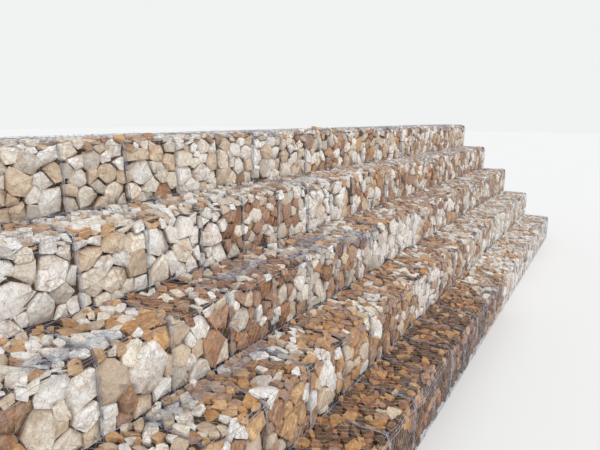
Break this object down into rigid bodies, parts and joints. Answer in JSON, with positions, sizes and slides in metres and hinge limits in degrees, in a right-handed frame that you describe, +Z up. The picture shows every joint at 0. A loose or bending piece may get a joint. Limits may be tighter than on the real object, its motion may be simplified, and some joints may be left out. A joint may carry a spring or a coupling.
{
  "type": "stepped gabion retaining wall",
  "caption": "Stepped retaining wall of wire baskets packed with broken limestone, each course set back from the one below, with laced edge wires and a vertical back",
  "frame": {"origin": "At the foot of the wall, in the middle of its length and depth", "axes": "+X runs along the wall to its far end in the picture, +Y points to the retained ground behind the wall, +Z is up"},
  "size_m": [24, 5.03, 5],
  "materials": {
    "stone_fill": "rough",
    "galvanised_wire": "matte"
  },
  "bodies": {
    "root": {"course_1_bay_1": "stone_fill", "course_1_bay_2": "stone_fill", "course_1_bay_3": "stone_fill", "course_1_bay_4": "stone_fill", "course_1_bay_5": "stone_fill", "course_1_bay_6": "stone_fill", "course_2_bay_1": "stone_fill", "course_2_bay_2": "stone_fill", "course_2_bay_3": "stone_fill", "course_2_bay_4": "stone_fill", "course_2_bay_5": "stone_fill", "course_2_bay_6": "stone_fill", "course_3_bay_1": "stone_fill", "course_3_bay_2": "stone_fill", "course_3_bay_3": "stone_fill", "course_3_bay_4": "stone_fill", "course_3_bay_5": "stone_fill", "course_3_bay_6": "stone_fill", "course_4_bay_1": "stone_fill", "course_4_bay_2": "stone_fill", "course_4_bay_3": "stone_fill", "course_4_bay_4": "stone_fill", "course_4_bay_5": "stone_fill", "course_4_bay_6": "stone_fill", "course_5_bay_1": "stone_fill", "course_5_bay_2": "stone_fill", "course_5_bay_3": "stone_fill", "course_5_bay_4": "stone_fill", "course_5_bay_5": "stone_fill", "course_5_bay_6": "stone_fill", "course_1_cage": "galvanised_wire", "course_2_cage": "galvanised_wire", "course_3_cage": "galvanised_wire", "course_4_cage": "galvanised_wire", "course_5_cage": "galvanised_wire"}
  },
  "joints": []
}
